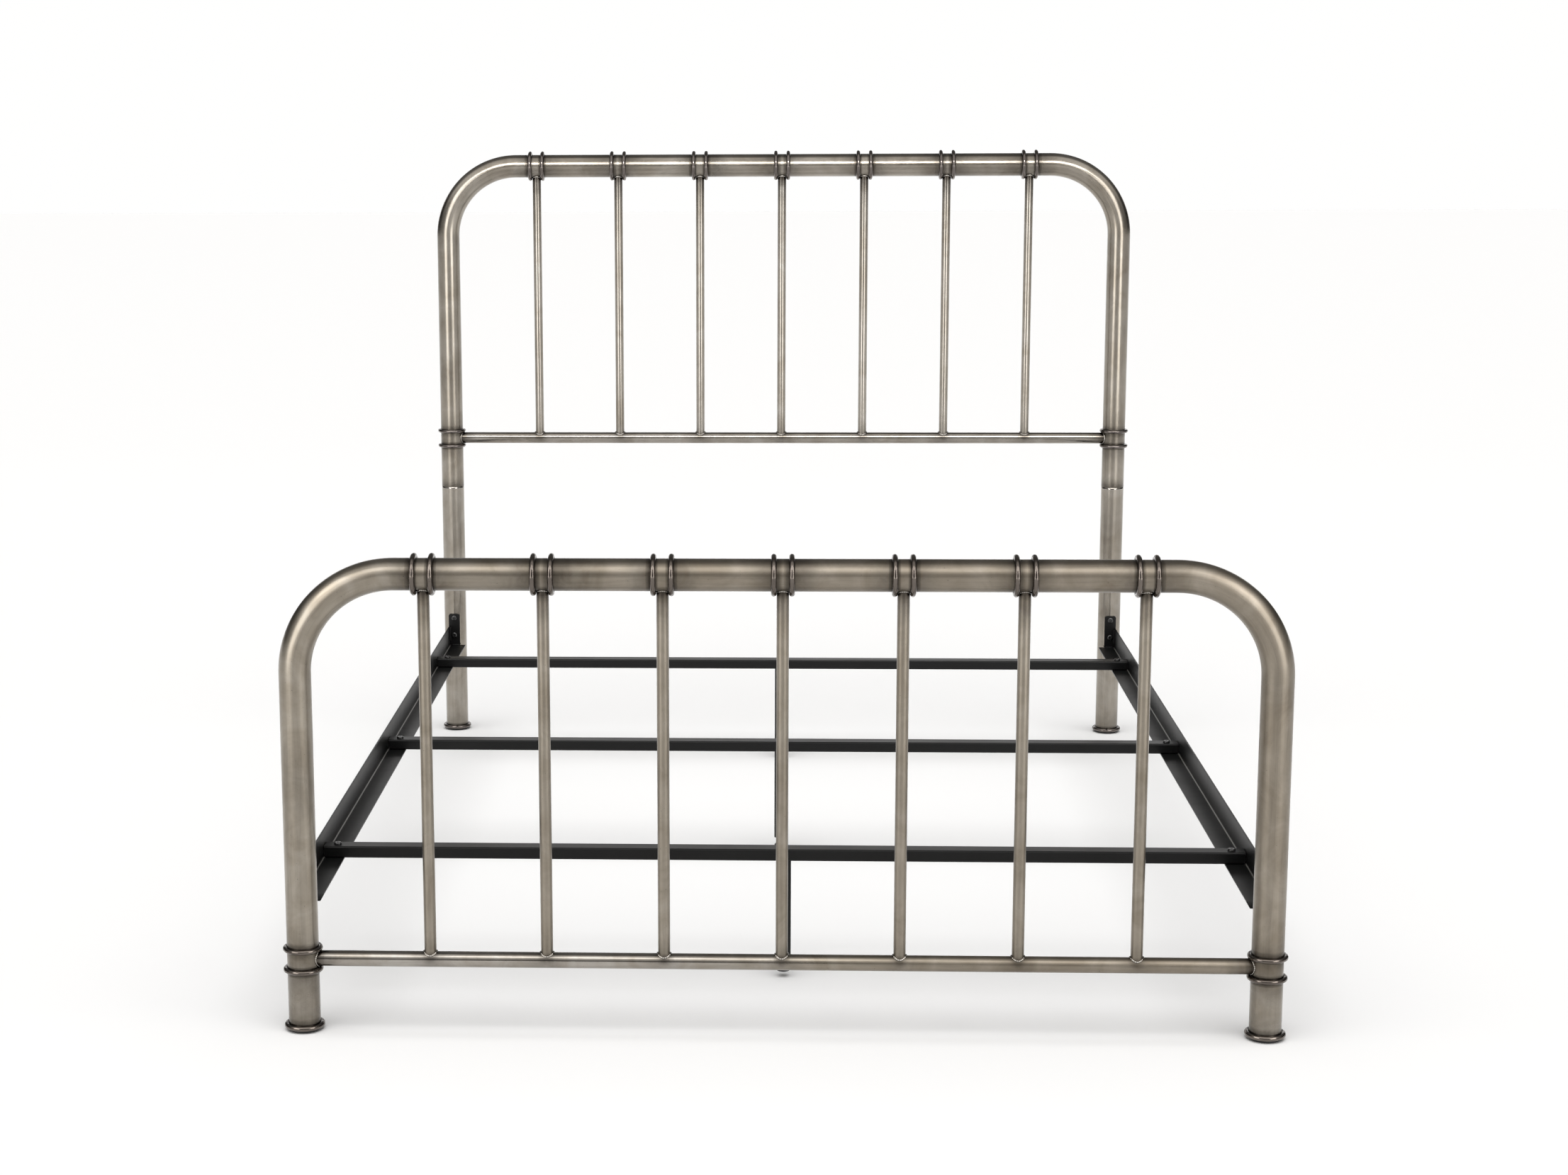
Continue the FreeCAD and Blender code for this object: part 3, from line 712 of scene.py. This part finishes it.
def threaded_stem(name, x, y):
    """Levelling screw with a real helical thread, hexagon, neck and ball."""
    pitch, low, high = 1.25, FOOT_RISE + 18.4, FOOT_RISE + 78.0
    segs, per_turn = 32, 10
    turns = (high - low) / pitch
    count = int(turns * per_turn) + 1
    stem = Builder()
    across, along = Vector((1, 0, 0)), Vector((0, 1, 0))
    marks = [low + (high - low) * k / (count - 1) for k in range(count)]
    path = [(Vector((x, y, z)), across, along, z - low) for z in marks]

    def radius(s, a):
        phase = (s / pitch - a / (2 * math.pi)) % 1.0
        ridge = 1.0 - abs(phase * 2 - 1.0)
        ends = min(1.0, s / 1.5, (high - low - s) / 1.5)
        return 3.32 + (0.66 * ridge) * max(0.0, ends)
    stem.sweep(path, radius, segs, 0.0, caps=(True, True))
    # ball and neck, as (radius, height over the pad's underside)
    profile = [(0.3, 2.0), (1.8, 2.35), (3.2, 3.3), (4.1, 4.6), (4.6, 6.6), (4.3, 8.3), (3.6, 9.6),
               (3.2, 10.4), (3.2, 13.6)]
    rows = [(Vector((x, y, FOOT_RISE + z)), across, along, z) for _, z in profile]
    table = {z: r for r, z in profile}
    stem.sweep(rows, lambda s, a: table[s], segs, 0.2)
    hex_r = 6.4                          # hexagon, centre to corner
    flat = hex_r * math.sqrt(3.0) / 2.0
    levels = [(13.6, 0.90), (14.3, 1.0), (17.7, 1.0), (18.4, 0.90)]

    def hexagon(s, a):
        point = flat / math.cos((a % (math.pi / 3)) - math.pi / 6)
        return min(point, hex_r) * dict(levels)[s]
    rows = [(Vector((x, y, FOOT_RISE + z)), across, along, z) for z, _ in levels]
    stem.sweep(rows, hexagon, 72, 0.0, caps=(True, True))
    stem.finish("levelling_screw_" + name, ZINC_MAT, ["leg_stem_" + name],
                "stem_" + name)


def foot_pad(name, x, y):
    """Moulded foot pad with a rolled rim, waist and grip ribs."""
    pad = Builder()
    # from the middle of the underside, over the rim and the waist, into the ball socket
    profile = [(0.0, 0.0), (8.6, 0.0), (10.4, 0.3), (11.5, 1.1), (12.0, 2.3), (12.0, 4.3), (11.8, 4.9),
               (11.1, 5.3), (10.2, 6.2), (9.0, 8.6), (8.0, 11.2), (7.7, 12.2), (7.2, 12.6), (4.2, 12.6),
               (3.6, 12.2), (3.5, 11.0), (3.9, 9.4)]
    rows, s = [], 0.0
    radii = []
    for k, (r, z) in enumerate(profile):
        if k:
            s += math.hypot(r - profile[k - 1][0], z - profile[k - 1][1])
        rows.append((Vector((x, y, FOOT_RISE + z)), Vector((1, 0, 0)), Vector((0, 1, 0)), s))
        radii.append(max(r, 0.02))
    lookup = {row[3]: r for row, r in zip(rows, radii)}

    def radius(d, a):
        r = lookup[d]
        if 9.0 <= r <= 11.2 and d > 14.0:
            r -= 0.25 * max(0.0, math.sin(a * 12))
        return r
    pad.sweep(rows, radius, 72, 0.0, seed=y * MM)
    pad.finish("swivel_pad_" + name, GLIDE_MAT, ["leg_pad_" + name], "pad_" + name)


for board in BOARDS:
    main_tube(board)
    lower_bar(board)
    spindles(board)
    rings(board)
    welds(board)
headboard_legs()
for sign, side_name in SIDES:
    side_rail(sign, side_name)
plate_welds()
for name, (x, y) in CENTRE_FEET.items():
    threaded_stem(name, x, y)
    foot_pad(name, x, y)

# ---- CAD nodes that keep their own shape ----
KEPT = {"rail_plate": RAIL_MAT, "cross_slat": RAIL_MAT, "center_leg": RAIL_MAT,
        "rail_bolts": HARDWARE_MAT, "slat_bolts": HARDWARE_MAT, "headboard_leg_screws": HARDWARE_MAT,
        "slat_nuts": ZINC_MAT, "post_inserts": ZINC_MAT, "leg_inserts": PLUG_MAT,
        "headboard_glide": GLIDE_MAT, "footboard_glide": GLIDE_MAT}
for node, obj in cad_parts.items():
    for start, material in KEPT.items():
        if node.startswith(start):
            obj.data.materials.clear()
            obj.data.materials.append(material)

# =====================================================================
# floor, light and camera
# =====================================================================
floor_mat, _, shader = node_material("pale_floor")
shader.inputs["Base Color"].default_value = (0.90, 0.90, 0.90, 1.0)
shader.inputs["Roughness"].default_value = 0.9
shader.inputs["Specular IOR Level"].default_value = 0.1
bpy.ops.mesh.primitive_plane_add(size=60.0, location=(0, 0, 0))
floor = bpy.context.object
floor.name = "floor"
floor.data.materials.append(floor_mat)


def smooth_step(tree, value, low, high, at_low=0.0, at_high=1.0):
    node = add(tree, "ShaderNodeMapRange", interpolation_type="SMOOTHSTEP")
    tree.links.new(value, node.inputs["Value"])
    for socket, number in (("From Min", low), ("From Max", high), ("To Min", at_low), ("To Max", at_high)):
        node.inputs[socket].default_value = number
    return node.outputs["Result"]


# a soft white dome, dark low down all round and dark behind the bed; the camera itself sees plain white
world = bpy.data.worlds.new("studio")
bpy.context.scene.world = world
world.use_nodes = True
tree = world.node_tree
tree.nodes.clear()
out = tree.nodes.new("ShaderNodeOutputWorld")
back = add(tree, "ShaderNodeBackground", Strength=1.0)
coords = add(tree, "ShaderNodeTexCoord")
split = add(tree, "ShaderNodeSeparateXYZ")
tree.links.new(coords.outputs["Generated"], split.inputs[0])
dome = smooth_step(tree, split.outputs[2], 0.22, 0.62, 0.24, 1.05)
behind = smooth_step(tree, split.outputs[1], -0.20, 0.20)
dimming = math_node(tree, "SUBTRACT", 1.0, math_node(tree, "MULTIPLY", behind, 0.82))
shade = math_node(tree, "MULTIPLY", dome, dimming)
paths = add(tree, "ShaderNodeLightPath")
tint = mix_colour(tree, 1.0, shade, (1.0, 0.985, 0.965), "MULTIPLY")
white = mix_colour(tree, paths.outputs["Is Camera Ray"], tint, (1.0, 1.0, 0.995))
tree.links.new(white, back.inputs["Color"])
tree.links.new(back.outputs[0], out.inputs[0])


def softbox(name, location, target, size, radiance, spread=180.0):
    """Rectangular soft light for highlights; its power follows from how bright its face is."""
    light = bpy.data.lights.new(name, "AREA")
    light.shape = "RECTANGLE"
    light.size, light.size_y = size
    light.energy = radiance * math.pi * size[0] * size[1]
    light.color = (1.0, 0.99, 0.98)
    light.spread = math.radians(spread)
    obj = bpy.data.objects.new(name, light)
    bpy.context.scene.collection.objects.link(obj)
    obj.location = location
    obj.rotation_euler = (Vector(target) - Vector(location)).to_track_quat("-Z", "Y").to_euler()
    obj.visible_diffuse = False
    obj.visible_camera = False


softbox("key_top", (0, -3.2, 3.3), (0, -0.7, 0.4), (4.6, 1.5), 1.9)
softbox("key_head", (0, -1.9, 2.9), (0, 1.04, 1.3), (4.4, 0.5), 1.6, 60.0)
softbox("back_strip", (0, 6.0, 1.8), (0, 0.0, 0.2), (9.0, 1.7), 1.1)
for sign, side_name in SIDES:
    softbox("high_" + side_name, (3.3 * sign, -3.0, 2.9), (0.4 * sign, -0.4, 0.7), (1.6, 1.4), 3.6)
    softbox("low_" + side_name, (2.7 * sign, -3.5, 1.3), (0, 0.0, 0.7), (1.9, 2.3), 3.2)

# an even wash over the floor from high overhead
wash = bpy.data.lights.new("wash", "SUN")
wash.angle = math.radians(70.0)
wash.energy = 1.95
wash_obj = bpy.data.objects.new("wash", wash)
bpy.context.scene.collection.objects.link(wash_obj)
wash_obj.rotation_euler = (math.radians(12.0), 0.0, 0.0)
wash_obj.visible_glossy = False

FOCAL_LENGTH = 1.71238698                # in sensor widths
LENS_SHIFT = 0.078390597                 # in sensor widths
CAMERA_PLACE = (-10.3, -5122.2, 1466.3)  # millimetres
CAMERA_TURN = (-2.496, -10.356, -0.272)  # yaw, pitch and roll in degrees

cam_data = bpy.data.cameras.new("camera")
camera = bpy.data.objects.new("camera", cam_data)
bpy.context.scene.collection.objects.link(camera)
cam_data.sensor_fit = "HORIZONTAL"
cam_data.sensor_width = 36.0
cam_data.lens = FOCAL_LENGTH * cam_data.sensor_width
cam_data.shift_x = LENS_SHIFT
cam_data.clip_end = 200.0
yaw, pitch, roll = (math.radians(angle) for angle in CAMERA_TURN)
forward = Vector((math.sin(yaw) * math.cos(pitch), math.cos(yaw) * math.cos(pitch), math.sin(pitch)))
right = Vector((math.cos(yaw), -math.sin(yaw), 0.0))
up = right.cross(forward)
right, up = right * math.cos(roll) + up * math.sin(roll), up * math.cos(roll) - right * math.sin(roll)
turn = Matrix((right, up, -forward)).transposed().to_4x4()
camera.matrix_world = Matrix.Translation([place * MM for place in CAMERA_PLACE]) @ turn
bpy.context.scene.camera = camera
bpy.context.scene.view_settings.view_transform = "Standard"
